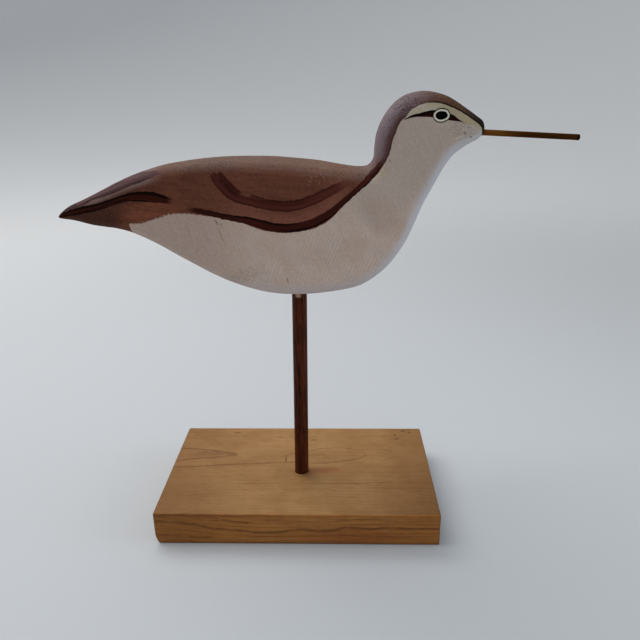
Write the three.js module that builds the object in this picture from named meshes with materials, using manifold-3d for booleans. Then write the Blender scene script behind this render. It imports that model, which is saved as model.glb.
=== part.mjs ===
// A carved and painted shorebird on a dowel leg, which stands in a wooden board. A thin dowel is its bill.
// Millimetres, +Z up. The origin is the middle of the board's underside. The bird looks along +X and is the
// same on both sides, -Y and +Y.
import * as THREE from "three";
import { mergeVertices } from "three/addons/utils/BufferGeometryUtils.js";
import Module from "manifold-3d";

const wasm = await Module();
wasm.setup();

// The board that it stands on
const boardLength = 152.4;
const boardWidth = 88.9;
const boardThickness = 19.05;
const boardEase = 0.6; // its edges are broken with sandpaper by this much
const wornLength = 2.2; // the lower edge at the tail end is worn away this far in along the board
const wornHeight = 7; // and this far up its end

// The dowel leg, a little off the middle of the board
const legDiameter = 7.9;
const legLength = 112; // what shows between the board and the lowest point of the belly
const legLean = 0.6; // degrees that it leans forward, towards the bill
const legOffsetX = 1;
const legOffsetY = -3.9;
const legInBoard = 13;
const legInBird = 26;

// The dowel bill, which droops a little
const billDiameter = 2.8;
const billLength = 45.5; // what shows in front of the face
const billInHead = 13;
const billDroop = 3.4; // degrees below level
const billHeight = 77.4; // where its middle leaves the face, above the lowest point of the belly

// The bird, carved in one from a plank
const birdLength = 211.2; // tail tip to face
const birdHeight = 96.3; // lowest point of the belly to the crown
const birdThickness = 38;
const edgeRound = 7; // radius between its flat sides and its back and belly
const backCrown = 2.2; // how far the back and the belly fall away across half the thickness
const sideCrown = 0.02; // share of the thickness that the sides lose towards the back and the belly
const legShare = 0.575; // how far along the bird the leg enters it, from the tail tip

// Both dowels are glued into drilled holes
const dowelGap = 0.15; // round a dowel
const holeSpare = 0.5; // past its end

// How finely the rounded forms are cut
const sliceStep = 4.4; // longest step along the bird
const backSteps = 2; // from the middle of the back to where its edge begins to round
const roundSteps = 5; // round that edge
const flankSteps = 3; // from there to the middle of the side
const sliceSides = 4 * (backSteps + roundSteps + flankSteps);
const dowelSides = 28;

// The carver's pattern, from the tail tip round the back and the neck to the face. Each slice runs from the
// upper outline to the lower one. The first four numbers are shares of birdLength and birdHeight, from the
// tail tip and from the lowest point of the belly, and the last is the slice's share of birdThickness.
const slices = [
  { over: [0.001, 0.404], under: [0.002, 0.395], thick: 0.06 },
  { over: [0.009, 0.422], under: [0.011, 0.39], thick: 0.14 },
  { over: [0.031, 0.457], under: [0.039, 0.384], thick: 0.21 },
  { over: [0.07, 0.491], under: [0.086, 0.358], thick: 0.31 },
  { over: [0.127, 0.55], under: [0.163, 0.333], thick: 0.45 },
  { over: [0.181, 0.603], under: [0.224, 0.282], thick: 0.58 },
  { over: [0.252, 0.655], under: [0.294, 0.202], thick: 0.73 },
  { over: [0.338, 0.687], under: [0.37, 0.111], thick: 0.86 },
  { over: [0.428, 0.7], under: [0.449, 0.039], thick: 0.95 },
  { over: [0.527, 0.695], under: [0.537, 0.001], thick: 1 },
  { over: [0.622, 0.675], under: [0.635, 0.006], thick: 1 },
  { over: [0.683, 0.652], under: [0.727, 0.048], thick: 0.98 },
  { over: [0.719, 0.642], under: [0.792, 0.155], thick: 0.93 },
  { over: [0.741, 0.649], under: [0.833, 0.29], thick: 0.86 },
  { over: [0.753, 0.685], under: [0.86, 0.428], thick: 0.79 },
  { over: [0.755, 0.739], under: [0.883, 0.531], thick: 0.74 },
  { over: [0.76, 0.812], under: [0.907, 0.632], thick: 0.71 },
  { over: [0.78, 0.904], under: [0.93, 0.703], thick: 0.69 },
  { over: [0.814, 0.976], under: [0.948, 0.732], thick: 0.66 },
  { over: [0.858, 1.001], under: [0.963, 0.752], thick: 0.62 },
  { over: [0.906, 0.981], under: [0.975, 0.764], thick: 0.54 },
  { over: [0.95, 0.926], under: [0.986, 0.775], thick: 0.42 },
  { over: [0.984, 0.877], under: [0.992, 0.786], thick: 0.29 },
  { over: [0.997, 0.841], under: [0.997, 0.795], thick: 0.18 },
  { over: [1, 0.826], under: [0.999, 0.808], thick: 0.08 },
];

// Places that follow from the sizes above
const boardTop = boardThickness;
const bellyZ = boardTop + legLength;
const leanAngle = THREE.MathUtils.degToRad(legLean);
const droopAngle = THREE.MathUtils.degToRad(billDroop);
const tailX = legOffsetX + legLength * Math.tan(leanAngle) - legShare * birdLength;
const faceX = tailX + birdLength;
const billZ = bellyZ + billHeight;

// A closed geometry as a solid that can be cut
function solidOf(geometry) {
  const bare = geometry.clone();
  bare.deleteAttribute("normal");
  bare.deleteAttribute("uv");
  const merged = mergeVertices(bare, 1e-4);
  const mesh = new wasm.Mesh({
    numProp: 3,
    vertProperties: new Float32Array(merged.attributes.position.array),
    triVerts: new Uint32Array(merged.index.array),
  });
  return new wasm.Manifold(mesh);
}

// A solid back as a geometry, with flat-shaded normals
function geometryOf(solid) {
  const { vertProperties, triVerts } = solid.getMesh();
  const indexed = new THREE.BufferGeometry();
  indexed.setAttribute("position", new THREE.BufferAttribute(vertProperties, 3));
  indexed.setIndex(new THREE.BufferAttribute(triVerts, 1));
  const geometry = indexed.toNonIndexed();
  geometry.computeVertexNormals();
  return geometry;
}

// A round rod with its lower end at the origin and its axis up +Z
function rod(diameter, length) {
  const geometry = new THREE.CylinderGeometry(diameter / 2, diameter / 2, length, dowelSides);
  geometry.rotateX(Math.PI / 2);
  geometry.translate(0, 0, length / 2);
  return geometry;
}

// A rod on the leg's line, whose lower end is this far below the board's top
function alongLeg(geometry, belowTop) {
  geometry.translate(0, 0, -belowTop);
  geometry.rotateY(leanAngle);
  return geometry.translate(legOffsetX, legOffsetY, boardTop);
}

// A rod on the bill's line, whose near end is this far behind the face
function alongBill(geometry, behindFace) {
  geometry.translate(0, 0, -behindFace);
  geometry.rotateY(Math.PI / 2 + droopAngle);
  return geometry.translate(faceX, legOffsetY, billZ);
}

// A point of the pattern in the part's own frame
function onPattern([alongShare, upShare]) {
  return new THREE.Vector3(tailX + alongShare * birdLength, legOffsetY, bellyZ + upShare * birdHeight);
}

// A quarter of a slice, from the middle of the back to the middle of the side: how far out and how far up each
// point lies, for a slice of this half thickness and half height
function sliceQuarter(halfThick, halfHigh) {
  const roundFor = (half) => (edgeRound ** -4 + (0.8 * half) ** -4) ** -0.25;
  const outRound = roundFor(halfThick);
  const upRound = roundFor(halfHigh);
  const points = [];
  for (let i = 0; i < backSteps; i++) points.push([(i / backSteps) * (halfThick - outRound), halfHigh]);
  for (let i = 0; i < roundSteps; i++) {
    const angle = ((i / roundSteps) * Math.PI) / 2;
    const inwards = outRound * (1 - Math.sin(angle));
    points.push([halfThick - inwards, halfHigh - upRound * (1 - Math.cos(angle))]);
  }
  for (let i = flankSteps; i >= 0; i--) points.push([halfThick, (i / flankSteps) * (halfHigh - upRound)]);
  return points.map(([out, up]) => [
    out * (1 - sideCrown * (up / halfHigh) ** 2),
    up - backCrown * (out / (birdThickness / 2)) ** 2 * (up / halfHigh),
  ]);
}

// The bird's surface: smooth curves through the pattern's slices, cut into rings of equal sides
function birdGeometry() {
  const curve = (points) => new THREE.CatmullRomCurve3(points, false, "centripetal");
  const over = curve(slices.map((slice) => onPattern(slice.over)));
  const under = curve(slices.map((slice) => onPattern(slice.under)));
  const reach = curve(
    slices.map((slice) => {
      const middle = onPattern(slice.over).add(onPattern(slice.under)).multiplyScalar(0.5);
      return middle.setY((slice.thick * birdThickness) / 2);
    }),
  );

  // One ring: round the slice from the middle of the back, by four quarters that mirror each other
  const ringAt = (t) => {
    const top = over.getPoint(t);
    const bottom = under.getPoint(t);
    const middle = top.clone().add(bottom).multiplyScalar(0.5);
    const upwards = top.clone().sub(bottom).normalize();
    const quarter = sliceQuarter(reach.getPoint(t).y, top.distanceTo(bottom) / 2);
    return Array.from({ length: sliceSides }, (_, side) => {
      const fromBack = Math.min(side, sliceSides - side);
      const [out, up] = quarter[Math.min(fromBack, sliceSides / 2 - fromBack)];
      const point = middle.clone().addScaledVector(upwards, fromBack > sliceSides / 4 ? -up : up);
      return point.setY(legOffsetY + (side > sliceSides / 2 ? -out : out));
    });
  };

  // Between two slices of the pattern there are as many rings as their widest stretch needs
  const rings = [];
  const gaps = slices.length - 1;
  for (let i = 0; i < gaps; i++) {
    const stretchOf = (line) => line.getPoint(i / gaps).distanceTo(line.getPoint((i + 1) / gaps));
    const stretch = Math.max(...[over, under, reach].map(stretchOf));
    const steps = Math.ceil(stretch / sliceStep);
    for (let step = 0; step < steps; step++) rings.push(ringAt((i + step / steps) / gaps));
  }
  rings.push(ringAt(1));

  // The ends are closed by a point in the middle of the first and the last ring
  const centreOf = (ring) =>
    ring.reduce((sum, point) => sum.add(point), new THREE.Vector3()).divideScalar(ring.length);
  const points = [...rings.flat(), centreOf(rings[0]), centreOf(rings[rings.length - 1])];
  const tailPoint = points.length - 2;
  const facePoint = points.length - 1;
  const lastRing = (rings.length - 1) * sliceSides;
  const faces = [];
  for (let side = 0; side < sliceSides; side++) {
    const next = (side + 1) % sliceSides;
    faces.push(tailPoint, side, next);
    faces.push(facePoint, lastRing + next, lastRing + side);
    for (let ring = 0; ring < rings.length - 1; ring++) {
      const near = ring * sliceSides;
      const far = near + sliceSides;
      faces.push(near + side, far + side, far + next);
      faces.push(near + side, far + next, near + next);
    }
  }
  const geometry = new THREE.BufferGeometry().setFromPoints(points);
  geometry.setIndex(faces);
  return geometry;
}

// The bird with the two drilled holes
function makeBird() {
  const legHole = alongLeg(rod(legDiameter + 2 * dowelGap, legLength + legInBird + holeSpare), 0);
  const billHoleDepth = billInHead + holeSpare;
  const billHole = alongBill(rod(billDiameter + 2 * dowelGap, billHoleDepth + billLength), billHoleDepth);
  const bird = solidOf(birdGeometry()).subtract(solidOf(legHole)).subtract(solidOf(billHole));
  return named("bird_body", geometryOf(bird), { color: 0x7d6c62, roughness: 0.75 });
}

function makeBill() {
  const dowel = alongBill(rod(billDiameter, billInHead + billLength), billInHead);
  return named("bill", dowel, { color: 0x5c3c12, roughness: 0.55 });
}

function makeLeg() {
  const dowel = alongLeg(rod(legDiameter, legInBoard + legLength + legInBird), legInBoard);
  return named("leg", dowel, { color: 0x371e14, roughness: 0.6 });
}

// The board: its side view, drawn out across its width, with eased edges and the hole for the leg
function makeBoard() {
  const right = boardLength / 2 - boardEase;
  const high = boardThickness - boardEase;
  const outline = new THREE.Shape();
  outline.moveTo(-right + wornLength, boardEase);
  outline.lineTo(right, boardEase);
  outline.lineTo(right, high);
  outline.lineTo(-right, high);
  outline.lineTo(-right, boardEase + wornHeight);
  outline.quadraticCurveTo(-right, boardEase + wornHeight / 4, -right + wornLength, boardEase);
  const block = new THREE.ExtrudeGeometry(outline, {
    depth: boardWidth - 2 * boardEase,
    bevelThickness: boardEase,
    bevelSize: boardEase,
    bevelSegments: 2,
    curveSegments: 8,
  });
  block.rotateX(Math.PI / 2);
  block.translate(0, boardWidth / 2 - boardEase, 0);
  const holeDepth = legInBoard + holeSpare;
  const hole = alongLeg(rod(legDiameter + 2 * dowelGap, holeDepth + boardThickness), holeDepth);
  const board = solidOf(block).subtract(solidOf(hole));
  return named("base_board", geometryOf(board), { color: 0x8e6d49, roughness: 0.7 });
}

function named(name, geometry, finish) {
  const mesh = new THREE.Mesh(geometry, new THREE.MeshStandardMaterial({ metalness: 0, ...finish }));
  mesh.name = name;
  return mesh;
}

const shorebird = new THREE.Group();
shorebird.add(makeBird(), makeBill(), makeLeg(), makeBoard());

export default shorebird;
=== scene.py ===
import math

import bmesh
import bpy
import numpy as np
from mathutils import Matrix, Vector, noise


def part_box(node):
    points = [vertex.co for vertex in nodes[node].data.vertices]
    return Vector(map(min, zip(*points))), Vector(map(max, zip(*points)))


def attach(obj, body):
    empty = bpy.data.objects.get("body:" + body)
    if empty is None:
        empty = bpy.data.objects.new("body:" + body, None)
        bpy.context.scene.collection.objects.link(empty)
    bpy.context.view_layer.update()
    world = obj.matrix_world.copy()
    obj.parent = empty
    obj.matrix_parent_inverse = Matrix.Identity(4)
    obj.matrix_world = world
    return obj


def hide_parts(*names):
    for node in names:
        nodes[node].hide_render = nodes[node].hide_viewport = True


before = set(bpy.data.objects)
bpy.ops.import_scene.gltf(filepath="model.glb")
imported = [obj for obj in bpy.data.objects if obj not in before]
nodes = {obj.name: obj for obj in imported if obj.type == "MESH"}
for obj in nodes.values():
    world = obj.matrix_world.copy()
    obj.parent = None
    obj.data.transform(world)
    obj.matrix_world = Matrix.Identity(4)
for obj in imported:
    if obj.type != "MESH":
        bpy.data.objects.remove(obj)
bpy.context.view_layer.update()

mm = 0.001
hardAngle = 50  # in degrees: an edge that turns further stays sharp
drillSides = 96
endSlice = 0.3  # how much of a dowel's end is measured

# Camera: where the photograph was taken from, in millimetres from the middle of the board's underside
photoCamera = {
    "place": (21.5, -310.5, 227.55),
    "down": 20.43,
    "turned": 1.63,
    "rolled": -0.71,
    "lens": 34.49,
    "sensor": 36,
}

camera = bpy.data.objects.new("photoCamera", bpy.data.cameras.new("photoCamera"))
bpy.context.collection.objects.link(camera)
camera.location = Vector(photoCamera["place"]) * mm
camera.rotation_euler = (
    Matrix.Rotation(math.radians(photoCamera["turned"]), 3, "Z")
    @ Matrix.Rotation(math.radians(90 - photoCamera["down"]), 3, "X")
    @ Matrix.Rotation(math.radians(photoCamera["rolled"]), 3, "Z")
).to_euler()
camera.data.lens = photoCamera["lens"]
camera.data.sensor_width = photoCamera["sensor"]
camera.data.clip_start = 0.01
bpy.context.scene.camera = camera
print("camera ready")


# Shared by every finish

def shaderTone(tone):
    # a colour as it would be read in a photograph, 0 to 255, as the shader counts it
    shares = [value / 255 for value in tone]
    return (*(share / 12.92 if share <= 0.04045 else ((share + 0.055) / 1.055) ** 2.4 for share in shares), 1)


def held(values):
    return np.clip(values, 0, 1)


def clampedLine(points):
    # a smooth line through a few points, which may carry further columns such as a half width
    given = np.array(points, float)
    padded = np.vstack([2 * given[0] - given[1], given, 2 * given[-1] - given[-2]])
    u = np.linspace(0, 1, 10, endpoint=False)[:, None]
    stretches = []
    for before, start, end, after in zip(padded, padded[1:], padded[2:], padded[3:]):
        bend = 2 * before - 5 * start + 4 * end - after
        twist = 3 * start - before - 3 * end + after
        stretches.append(0.5 * (2 * start + (end - before) * u + bend * u**2 + twist * u**3))
    return np.vstack(stretches + [given[-1:]])


def besideLine(spots, line):
    # for each spot: how far along the line it lies, and how far to its left. Past an end the count goes on.
    path = line[:, :2]
    steps = np.diff(path, axis=0)
    lengths = np.hypot(*steps.T)
    starts = np.concatenate([[0], np.cumsum(lengths)])
    nearest = np.full(len(spots), np.inf)
    along, left = np.zeros((2, len(spots)))
    for i, (step, length) in enumerate(zip(steps, lengths)):
        away = spots - path[i]
        share = away @ step / length**2
        low = -np.inf if i == 0 else 0
        high = np.inf if i == len(steps) - 1 else 1
        distance = np.hypot(*(away - held(share)[:, None] * step).T)
        side = (step[0] * away[:, 1] - step[1] * away[:, 0]) / length
        side = np.where((share >= low) & (share <= high), side, np.sign(side) * distance)
        closer = distance < nearest
        nearest[closer] = distance[closer]
        along[closer] = (starts[i] + np.clip(share, low, high) * length)[closer]
        left[closer] = side[closer]
    return along, left, starts


class Finish:
    # A material whose nodes are put together in millimetres on the object's own coordinates. Where a share is
    # wanted, round brackets may stand for an eased step: what is read, where the step begins and ends, and
    # its value at both ends where that isn't 0 and 1. Square brackets hold shares to multiply.

    def __init__(self, name):
        self.material = bpy.data.materials.new(name)
        self.material.use_nodes = True
        self.tree = self.material.node_tree
        self.shader = self.tree.nodes["Principled BSDF"]
        place = self.put("TexCoord", out="Object")
        self.place = self.put("VectorMath", [place, (1000, 1000, 1000)], operation="MULTIPLY")

    def put(self, kind, sockets=(), out=0, **settings):
        node = self.tree.nodes.new("ShaderNode" + kind)
        for key, value in settings.items():
            setattr(node, key, value)
        self.fill(node, sockets if isinstance(sockets, dict) else dict(enumerate(sockets)))
        return node.outputs[out]

    def fill(self, node, sockets):
        for slot, value in sockets.items():
            if isinstance(value, bpy.types.NodeSocket):
                self.tree.links.new(value, node.inputs[slot])
            elif value is not None:
                node.inputs[slot].default_value = value

    def ramp(self, value, low, high, toLow=0, toHigh=1):
        # eases from toLow to toHigh as value goes from low to high
        sockets = [value, low, high, toLow, toHigh]
        return self.put("MapRange", sockets, interpolation_type="SMOOTHSTEP")

    def step(self, value):
        if isinstance(value, list):
            return self.times(*value)
        return self.ramp(*value) if isinstance(value, tuple) else value

    def calc(self, operation, a, b=None):
        return self.put("Math", [a, b], operation=operation)

    def times(self, first, *others):
        total = self.step(first)
        for value in others:
            total = self.calc("MULTIPLY", total, self.step(value))
        return total

    def plus(self, a, b):
        return self.calc("ADD", a, b)

    def less(self, a, b):
        return self.calc("SUBTRACT", a, b)

    def larger(self, a, b):
        return self.calc("MAXIMUM", a, b)

    def mix(self, share, first, second):
        return self.put("Mix", {0: self.step(share), 6: first, 7: second}, out=2, data_type="RGBA")

    def coats(self, tones, colour, *others):
        # one tone after another laid over a colour, each as strongly as its share says
        if isinstance(colour, str):
            colour = shaderTone(tones[colour])
        for share, tone in others:
            colour = self.mix(share, colour, shaderTone(tones[tone]))
        return colour

    def noise(self, vector, detail=2, rough=0.5):
        return self.put("TexNoise", {"Vector": vector, "Scale": 1, "Detail": detail, "Roughness": rough})

    def grain(self, scales, detail=2, rough=0.5, turned=0):
        # noise with a scale for each axis, or one for all, after a turn across the piece in degrees
        place = self.place
        if turned:
            place = self.put("Mapping", {0: place, 2: (0, math.radians(turned), 0)}, vector_type="POINT")
        scales = scales if isinstance(scales, tuple) else (scales, scales, scales)
        return self.noise(self.put("VectorMath", [place, scales], operation="MULTIPLY"), detail, rough)

    def sway(self, grain, amount):
        # grain as a push to either side
        return self.times(self.less(grain, 0.5), amount)

    def axes(self, vector):
        return self.put("SeparateXYZ", [vector]).node.outputs

    def attribute(self, name, out="Fac"):
        return self.put("Attribute", out=out, attribute_name=name)

    def curve(self, value, points):
        # a smooth curve through points, read at value
        given = np.array(points, float)
        low, high = given.min(axis=0), given.max(axis=0)
        share = self.put("MapRange", [value, low[0], high[0], 0, 1])
        node = self.put("FloatCurve", {1: share}).node
        line = node.mapping.curves[0]
        scaled = (given - low) / (high - low)
        line.points[0].location = scaled[0]
        line.points[1].location = scaled[-1]
        for spot in scaled[1:-1]:
            line.points.new(*spot)
        node.mapping.update()
        return self.put("MapRange", [node.outputs[0], 0, 1, low[1], high[1]])

    def spot(self, x, z, place, half, turned=0, soft=0.5):
        # 1 inside an oval round a place, fading over its rim
        cos, sin = math.cos(math.radians(turned)), math.sin(math.radians(turned))
        offX, offZ = self.less(x, place[0]), self.less(z, place[1])
        long = self.plus(self.times(offX, cos / half[0]), self.times(offZ, -sin / half[0]))
        wide = self.plus(self.times(offX, sin / half[1]), self.times(offZ, cos / half[1]))
        away = self.calc("SQRT", self.plus(self.times(long, long), self.times(wide, wide)))
        return self.ramp(away, 1 + soft, 1 - soft)

    def finish(self, colour, roughness, height=None, depth=1, gloss=0.5):
        sockets = {"Base Color": colour, "Roughness": roughness, "Specular IOR Level": gloss}
        if height is not None:
            sockets["Normal"] = self.put("Bump", {"Height": height, "Distance": depth * mm, "Strength": 1})
        self.fill(self.shader, sockets)
        return self.material


def vertexPlaces(mesh):
    flat = np.empty(len(mesh.vertices) * 3)
    mesh.vertices.foreach_get("co", flat)
    return flat.reshape(-1, 3) / mm


def vertexNormals(mesh):
    flat = np.empty(len(mesh.vertices) * 3)
    mesh.vertex_normals.foreach_get("vector", flat)
    return flat.reshape(-1, 3)


def movePlaces(mesh, places):
    mesh.vertices.foreach_set("co", (places * mm).ravel())
    mesh.update()


def keepValue(mesh, name, values):
    # a number or three for each vertex, which the finish reads back
    kind = "FLOAT" if values.ndim == 1 else "FLOAT_VECTOR"
    attribute = mesh.attributes.new(name, kind, "POINT")
    attribute.data.foreach_set("value" if values.ndim == 1 else "vector", values.astype(np.float32).ravel())


def roughness3d(places, scales, seed, octaves=2):
    # smooth noise from -1 to 1 at each place, with a size for each axis in millimetres
    spots = places / np.array(scales, float) + seed
    return np.array([noise.fractal(spot, 0.8, 2, octaves) for spot in spots])


def newObject(name, bm):
    mesh = bpy.data.meshes.new(name)
    bm.to_mesh(mesh)
    bm.free()
    made = bpy.data.objects.new(name, mesh)
    bpy.context.collection.objects.link(made)
    return made


def newPiece(name, bm, material):
    piece = newObject(name, bm)
    piece.data.materials.append(material)
    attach(piece, "root")
    return piece


def applyModifiers(piece):
    # the piece's mesh becomes what its modifiers show
    shown = piece.evaluated_get(bpy.context.evaluated_depsgraph_get())
    finished = bpy.data.meshes.new_from_object(shown)
    old = piece.data
    piece.modifiers.clear()
    piece.data = finished
    bpy.data.meshes.remove(old)
    finished.name = piece.name


def cutWith(piece, cutters):
    # drills the holes, and takes the cutters away again
    for cutter in cutters:
        drill = piece.modifiers.new("drill", "BOOLEAN")
        drill.object = cutter
        drill.operation = "DIFFERENCE"
        drill.solver = "EXACT"
    applyModifiers(piece)
    for cutter in cutters:
        bpy.data.objects.remove(cutter)


def shadeSoftly(piece):
    piece.data.shade_smooth()
    piece.data.set_sharp_from_angle(angle=math.radians(hardAngle))


def dowelLine(node, axis):
    # both ends of a dowel's middle line and its radius, from its solid
    places = vertexPlaces(nodes[node].data)
    level = places[:, axis]
    near = places[level < level.min() + endSlice]
    far = places[level > level.max() - endSlice]
    start = (near.min(axis=0) + near.max(axis=0)) / 2
    end = (far.min(axis=0) + far.max(axis=0)) / 2
    radius = (near.max(axis=0) - near.min(axis=0))[1] / 2
    return Vector(start), Vector(end), radius


def alongLine(start, end):
    # turns an upright thing that starts at the origin onto a line
    return Matrix.Translation(start) @ (end - start).to_track_quat("Z", "Y").to_matrix().to_4x4()


def longEdges(bm, axis, length):
    # the edges that run along an axis from end to end
    return [edge for edge in bm.edges if abs((edge.verts[0].co - edge.verts[1].co)[axis]) > length / 2]


def easeEdges(bm, edges, offset):
    bmesh.ops.bevel(bm, geom=edges, offset=offset, segments=3, profile=0.5, affect="EDGES", material=-1)


def dowelShape(start, end, radius, sides, cuts, easing):
    # a round rod in metres, with eased ends and rings along it
    length = (end - start).length
    bm = bmesh.new()
    bmesh.ops.create_cone(
        bm, cap_ends=True, segments=sides, radius1=radius, radius2=radius, depth=length,
        matrix=Matrix.Translation((0, 0, length / 2)),
    )
    if easing:
        long = longEdges(bm, 2, length)
        easeEdges(bm, [edge for edge in bm.edges if edge not in long], easing)
    if cuts:
        bmesh.ops.subdivide_edges(bm, edges=longEdges(bm, 2, length), cuts=cuts, use_grid_fill=True)
    bmesh.ops.transform(bm, matrix=alongLine(start, end), verts=bm.verts)
    bmesh.ops.transform(bm, matrix=Matrix.Scale(mm, 4), verts=bm.verts)
    return bm


def drillBit(name, start, end, radius):
    # a cutter for the hole that a dowel stands in
    return newObject(name, dowelShape(start, end, radius, drillSides, 0, 0))


legStart, legEnd, legRadius = dowelLine("leg", 2)
billStart, billEnd, billRadius = dowelLine("bill", 0)
gluedGap = 0.15  # round each dowel in its hole
holeSpare = 0.5  # past each dowel's end


# The board: plain softwood, oiled and darkened with age

board = {
    "easing": 0.7,  # rounding of its edges
    "spacing": 1,  # of the mesh
    "wornLength": 2.2,  # the lower edge at the tail end is worn away
    "wornHeight": 7.6,
    "crownY": 12.5,  # the growth rings just touch the top along this line
    "pithDepth": 48,  # the middle of the tree, below the top
    "ringStep": 1.7,
    # how far the rings dip and rise along the crown line, which makes the pointed and the oval grain
    "dip": [
        (-76, -0.45), (-56, -0.28), (-39, 0), (-22, 0.35), (-5, 0), (15, -0.4), (41, 0), (60, 0.25),
        (76, 0.4),
    ],
    # how far they rise on the front edge
    "lift": [
        (-76, 6.5), (-68, 5), (-59, 3.2), (-51, 1.3), (-30, -0.1), (-20, -1), (2, 0), (18, 0.2), (44, 2.6),
        (76, 2),
    ],
    # the grain that stands out on the top and on the front edge: places, half width and strength
    "topGrain": [
        ([(-76, 19.3), (-64, 18.6), (-53.4, 16.5), (-45.7, 14.6), (-39.2, 12.3)], 0.32, 0.85),
        ([(-69, 12), (-63, 14.2), (-58.3, 17)], 0.5, 0.4),
        ([(-66, 12.6), (-53, 13.4), (-40, 12.3)], 1.1, 0.35),
        ([(-76, 5), (-62, 8.5), (-50, 10), (-39.2, 12.2)], 0.3, 0.7),
        ([(-76, -1.4), (-60, -0.1), (-48.2, 1.2), (-26.9, 3.1), (-12.5, 4), (-3, 4.8)], 0.26, 0.7),
        ([(5, 3.1), (15.1, 3.8), (23.5, 5.5), (32, 7.7), (36.9, 10.2), (40.2, 13)], 0.24, 0.7),
        ([(-12.9, 8.9), (-8.3, 12.2), (-3.6, 14.9), (4.4, 16.8), (13.6, 19.8), (23.6, 20.3), (32.3, 18.8),
          (37.1, 16.4), (40.2, 13.2)], 0.22, 0.6),
        ([(4.5, 13.4), (10.1, 12.4), (15, 12.8)], 0.2, 0.4),
        ([(48.4, 19.3), (54, 17.6), (57.4, 15)], 0.3, 0.35),
        ([(47.5, 6.1), (53, 8), (57.4, 12)], 0.3, 0.3),
        ([(2, -16.8), (29, -16.6), (51.8, -15.4), (76, -15.8)], 0.2, 0.5),
        ([(-60, -16.2), (-45, -16.7), (-10, -16.9)], 0.16, 0.25),
        ([(1, -22), (45.7, -20.8), (76, -21.8)], 0.16, 0.3),
        ([(-76, 30.5), (-40, 33), (0, 32.2), (40, 34), (76, 33)], 0.2, 0.25),
    ],
    "frontGrain": [
        ([(-76, 14.2), (-66, 13.8), (-55.5, 12.5), (-46, 10.3), (-36.5, 9.1), (-27, 8.4), (-22.7, 7.5),
          (-13, 7.5), (-4.5, 8.7), (4, 9.6), (11.5, 8.8), (19, 9.1), (28.5, 10.9), (39, 10.1), (47.5, 11),
          (60, 10.5), (76, 10.6)], 0.42, 0.9),
        ([(-60, 17.9), (-46.6, 17.1), (-37.2, 15.4), (-29.8, 13.9), (-24.5, 14)], 0.3, 0.75),
        ([(-19.5, 16.4), (-12.7, 15.6), (-7, 16.4)], 0.24, 0.6),
        ([(-76, 18), (-50, 18.2), (-29, 17.8), (-6, 17.6)], 0.35, 0.7),
        ([(-6, 17.7), (23, 18), (76, 17.8)], 0.2, 0.4),
        ([(-76, 6.2), (-67, 5), (-57, 4.3), (-45, 4.2)], 0.4, 0.6),
        ([(20, 15.5), (39, 16.1), (54.7, 14.9), (76, 15.7)], 0.26, 0.5),
        ([(0, 12.6), (23.2, 13.2), (44.3, 12.9), (76, 13.6)], 0.2, 0.4),
        ([(-28, 5.5), (-5, 5), (18, 6), (45, 5), (76, 6.5)], 0.3, 0.45),
        ([(-76, 10), (-60, 8.4), (-44, 7)], 0.22, 0.4),
    ],
    "wood": (156, 115, 70),
    "palerWood": (168, 127, 81),
    "deepWood": (112, 70, 32),
    "ring": (94, 52, 22),
    "redder": (138, 62, 24),
    "front": (176, 112, 50),
    "stain": (84, 42, 20),
    "cornerRound": 2,  # the two back corners
    "ringRelief": 0.015,  # the hard part of a ring stands up
    "unevenness": 0.03,
    "dentDepth": 0.1,
    "grainDepth": 0.06,
    "gloss": 0.15,
    # small knots: place, half lengths
    "knots": [
        (64.9, 40.9, 1.5, 0.8), (68.6, 38.9, 1, 0.7), (68.3, 42, 0.9, 0.5), (59.2, 35.9, 0.8, 0.8),
        (59.6, 31.3, 1.6, 0.7), (7.1, 29.6, 1.9, 0.5), (-9.2, 8.2, 0.4, 3.4), (-43, 38.4, 2, 0.5),
    ],
}


def ringCount(places):
    # which growth ring a place in the board lies in
    x, y, z = places.T
    top = board["top"]
    fromCrown = y - board["crownY"]
    dip = np.interp(x, *np.array(clampedLine(board["dip"])).T) * np.exp(-((fromCrown / 24) ** 2))
    front = held((-fromCrown - 12) / 40) ** 2
    lift = np.interp(x, *np.array(clampedLine(board["lift"])).T) * front
    depth = z - lift - (top - board["pithDepth"])
    wander = 0.5 * roughness3d(places, (60, 26, 26), 7.3)
    radius = np.hypot(fromCrown, depth) - board["pithDepth"]
    return (radius + dip + wander * held(np.abs(fromCrown) / 20)) / board["ringStep"]


def drawnGrain(wood, along, across, lines):
    # thin lines that wander a little and come and go
    across = wood.plus(across, wood.sway(wood.grain((0.3, 1.1, 1.1), 3, 0.6), 1.1))
    fades = wood.ramp(wood.grain((0.13, 0.2, 0.2)), 0.3, 0.55, 0.5, 1)
    total = 0
    for points, half, strength in lines:
        off = wood.calc("ABSOLUTE", wood.less(across, wood.curve(along, points)))
        start, end = points[0][0], points[-1][0]
        reach = wood.times((along, start - 1, start + 2), (along, end + 0.6, end - 1.2))
        line = wood.times((off, half * 2.9, half * 0.8), fades, strength, reach)
        total = wood.larger(line, total)
    return total


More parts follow.
